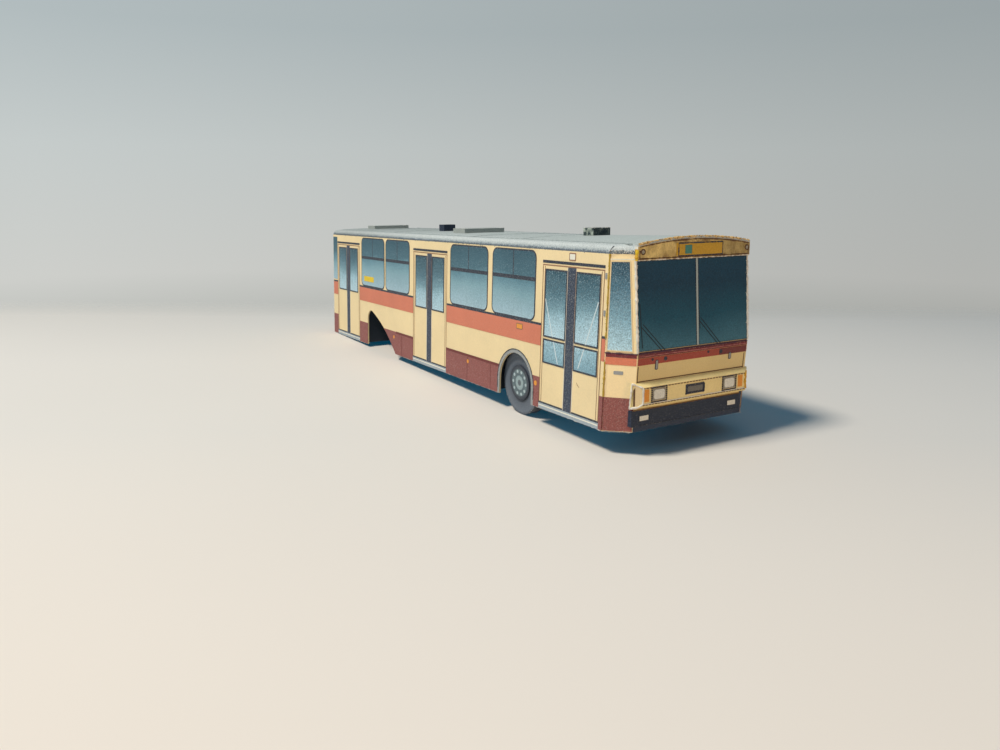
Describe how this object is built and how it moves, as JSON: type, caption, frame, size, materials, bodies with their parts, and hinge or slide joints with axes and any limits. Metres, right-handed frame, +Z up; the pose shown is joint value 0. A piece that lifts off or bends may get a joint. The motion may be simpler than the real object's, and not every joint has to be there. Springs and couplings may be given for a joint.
{
  "type": "card model trolleybus",
  "caption": "Small folded and printed card model of a trolleybus with a boxy cream body, red stripe and dark skirt, rolling front wheels and an empty rear wheel arch.",
  "frame": {"origin": "on the table under the middle of the model", "axes": "+X towards the front of the model along the table, +Y to its left, +Z up; the body is tipped nose up about Y as it rests on its front wheels and the tail of its skirt"},
  "size_m": [0.1316, 0.0298, 0.0334],
  "materials": {
    "cream_card": "matt printed card",
    "silver_card": "satin printed card",
    "black_card": "matt printed card",
    "floor_card": "matt printed card",
    "skirt_print": "matt print",
    "stripe_print": "matt print",
    "waist_print": "matt print",
    "glass_print": "satin print",
    "windscreen_print": "satin print",
    "line_print": "matt print",
    "lip_print": "matt print",
    "sill_print": "matt print",
    "lamp_print": "satin print",
    "amber_print": "satin print",
    "sign_print": "matt print",
    "tyre_card": "matt printed card",
    "rim_card": "matt printed card",
    "axle_wire": "drawn wire"
  },
  "bodies": {
    "body": {"side_wall_right": "cream_card", "side_wall_left": "cream_card", "front_corner_right": "cream_card", "front_corner_left": "cream_card", "rear_corner_right": "cream_card", "rear_corner_left": "cream_card", "front_panel": "cream_card", "rear_panel": "cream_card", "front_header": "cream_card", "roof": "silver_card", "front_wheel_well": "black_card", "rear_wheel_well": "black_card", "floor_front": "floor_card", "floor_middle": "floor_card", "floor_rear": "floor_card", "front_bracket_right": "black_card", "front_bracket_left": "black_card", "rear_bracket_right": "black_card", "rear_bracket_left": "black_card", "lamp_panel": "cream_card", "front_bumper": "black_card", "rear_bumper": "black_card", "roof_vent": "silver_card", "pole_plinth": "silver_card", "pole_base": "black_card", "rear_roof_box": "silver_card", "right_glass": "glass_print", "left_glass": "glass_print", "right_gaskets": "line_print", "left_gaskets": "line_print", "right_stripe": "stripe_print", "left_stripe": "stripe_print", "right_skirt_print": "skirt_print", "left_skirt_print": "skirt_print", "arch_lips": "lip_print", "door_sills": "sill_print", "windscreen_panes": "windscreen_print", "corner_panes": "glass_print", "rear_pane": "glass_print", "waist_line": "line_print", "waist_band": "waist_print", "corner_bands": "stripe_print", "corner_skirts": "skirt_print", "headlamps": "lamp_print", "turn_lamps": "amber_print", "blank_plate": "line_print", "header_sign": "sign_print"},
    "front_wheelset": {"front_axle": "axle_wire", "front_wheel_right": "tyre_card", "front_wheel_left": "tyre_card", "front_rim_right": "rim_card", "front_rim_left": "rim_card"}
  },
  "joints": [
    {"name": "front_wheels_roll", "type": "hinge", "parent": "body", "child": "front_wheelset", "pos_m": [0.03547, 0, 0.00585], "axis": [0, 1, 0], "continuous": true}
  ]
}
